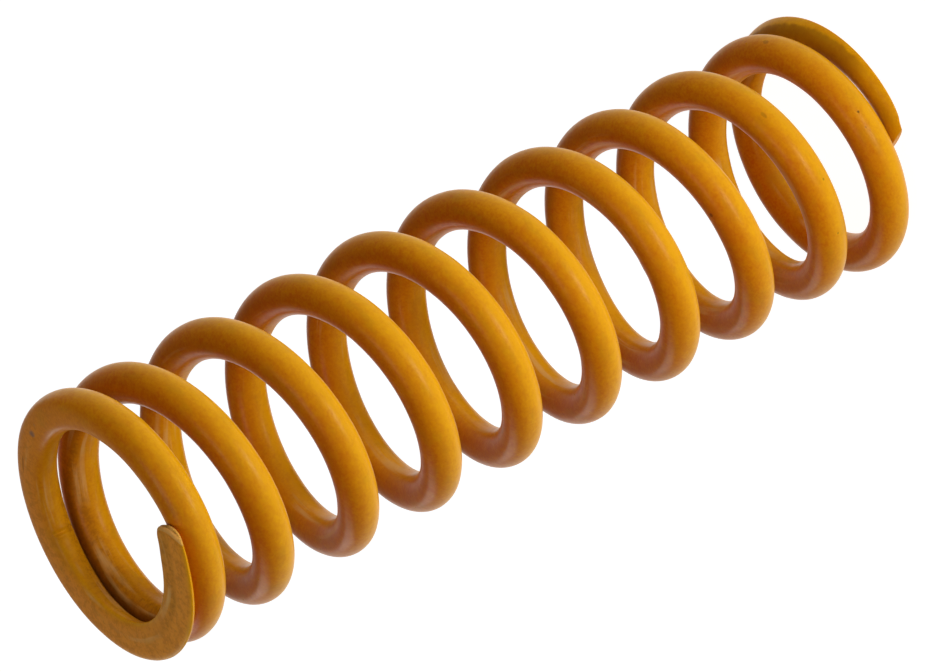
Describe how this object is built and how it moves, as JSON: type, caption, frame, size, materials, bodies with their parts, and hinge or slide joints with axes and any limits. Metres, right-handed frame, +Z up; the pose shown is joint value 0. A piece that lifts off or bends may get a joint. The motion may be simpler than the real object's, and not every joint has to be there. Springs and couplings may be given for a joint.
{
  "type": "clutch spring",
  "caption": "Painted helical compression spring of round wire, with closed and ground end turns, that presses a motorcycle clutch's plates together.",
  "frame": {"origin": "middle of the lower ground seat, on the coil's axis", "axes": "+Z up along the coil's axis, from the lower seat to the upper one; +X towards the wire's lower tip"},
  "size_m": [0.0144, 0.0144, 0.05],
  "materials": {
    "amber_paint": "amber yellow paint, satin, over spring steel"
  },
  "bodies": {
    "root": {"coil_spring": "amber_paint"}
  },
  "joints": []
}
